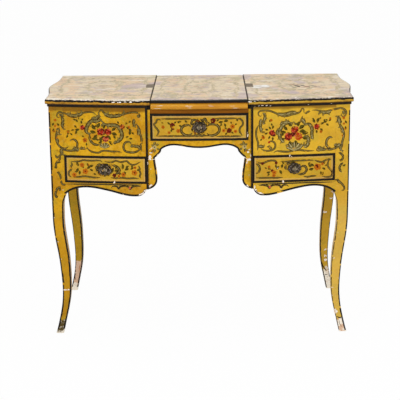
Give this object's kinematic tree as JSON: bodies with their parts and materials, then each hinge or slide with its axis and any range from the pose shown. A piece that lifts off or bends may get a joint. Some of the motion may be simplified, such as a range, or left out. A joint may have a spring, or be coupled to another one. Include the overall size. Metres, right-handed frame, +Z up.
{
  "type": "poudreuse dressing table",
  "caption": "Bow-fronted painted dressing table on cabriole legs, with lidded side wells, a mirror lid, a pull-out slide and drawers.",
  "frame": {"origin": "on the floor under the middle of the closed table", "axes": "+X to the viewer's right seen from the front, +Y towards the back, +Z up; the front faces -Y"},
  "size_m": [0.972, 0.5364, 0.755],
  "materials": {
    "painted_case": "yellow ochre lacquer with black edges and painted scrolls, worn",
    "painted_lids": "faded cream paint, rubbed, with dark edges",
    "black_trim": "black paint, satin, worn",
    "varnished_wood": "amber varnish, satin",
    "interior_wood": "old unpolished wood",
    "looking_glass": "silvered glass, a little foxed",
    "aged_brass": "dark patina, rubbed on the high points",
    "steel_pins": "dull",
    "worn_iron": "worn flat"
  },
  "bodies": {
    "case": {"apron_left": "painted_case", "apron_right": "painted_case", "back_panel_centre": "interior_wood", "back_panel_left": "interior_wood", "back_panel_right": "interior_wood", "centre_drawer_runners": "interior_wood", "centre_rail": "varnished_wood", "centre_stiles": "painted_case", "drawer_runners_left": "interior_wood", "drawer_runners_right": "interior_wood", "front_panel_left": "painted_case", "front_panel_right": "painted_case", "hinge_pins": "steel_pins", "inner_panel_left": "interior_wood", "inner_panel_right": "interior_wood", "inner_stiles": "black_trim", "kneehole_apron": "painted_case", "leg_front_left": "painted_case", "leg_front_right": "painted_case", "leg_rear_left": "painted_case", "leg_rear_right": "painted_case", "lid_ledges": "interior_wood", "mirror_hinges_fixed": "aged_brass", "side_hinge_fixed_left": "aged_brass", "side_hinge_fixed_right": "aged_brass", "side_panel_left": "painted_case", "side_panel_right": "painted_case", "slide_runners": "interior_wood", "top_moulding_left": "black_trim", "top_moulding_right": "black_trim", "well_floor_left": "interior_wood", "well_floor_right": "interior_wood"},
    "left lid": {"lid_left": "painted_lids", "lid_plate_left": "worn_iron", "side_hinge_moving_left": "aged_brass"},
    "right lid": {"lid_right": "painted_lids", "lid_plate_right": "worn_iron", "side_hinge_moving_right": "aged_brass"},
    "mirror lid": {"lid_centre": "painted_lids", "mirror_frame": "interior_wood", "mirror_glass": "looking_glass", "mirror_hinges_moving": "aged_brass"},
    "slide": {"slide_board": "varnished_wood", "slide_nose": "varnished_wood"},
    "left drawer": {"drawer_left_back": "interior_wood", "drawer_left_bottom": "interior_wood", "drawer_left_front": "painted_case", "drawer_left_pull": "aged_brass", "drawer_left_sides": "interior_wood"},
    "right drawer": {"drawer_right_back": "interior_wood", "drawer_right_bottom": "interior_wood", "drawer_right_front": "painted_case", "drawer_right_pull": "aged_brass", "drawer_right_sides": "interior_wood"},
    "centre drawer": {"drawer_centre_back": "interior_wood", "drawer_centre_bottom": "interior_wood", "drawer_centre_front": "painted_case", "drawer_centre_pull": "aged_brass", "drawer_centre_sides": "interior_wood"}
  },
  "joints": [
    {"name": "left lid hinge", "type": "hinge", "parent": "case", "child": "left lid", "pos_m": [-0.4798, 0.02725, 0.74], "axis": [0, -1, 0], "range_deg": [0, 110]},
    {"name": "right lid hinge", "type": "hinge", "parent": "case", "child": "right lid", "pos_m": [0.4798, 0.02725, 0.74], "axis": [0, 1, 0], "range_deg": [0, 110]},
    {"name": "mirror lid hinge", "type": "hinge", "parent": "case", "child": "mirror lid", "pos_m": [0, 0.24545, 0.747], "axis": [-1, 0, 0], "range_deg": [0, 105]},
    {"name": "slide pull", "type": "slide", "parent": "case", "child": "slide", "axis": [0, -1, 0], "range_m": [0, 0.26]},
    {"name": "left drawer pull", "type": "slide", "parent": "case", "child": "left drawer", "axis": [0, -1, 0], "range_m": [0, 0.28]},
    {"name": "right drawer pull", "type": "slide", "parent": "case", "child": "right drawer", "axis": [0, -1, 0], "range_m": [0, 0.28]},
    {"name": "centre drawer pull", "type": "slide", "parent": "case", "child": "centre drawer", "axis": [0, -1, 0], "range_m": [0, 0.28]}
  ]
}
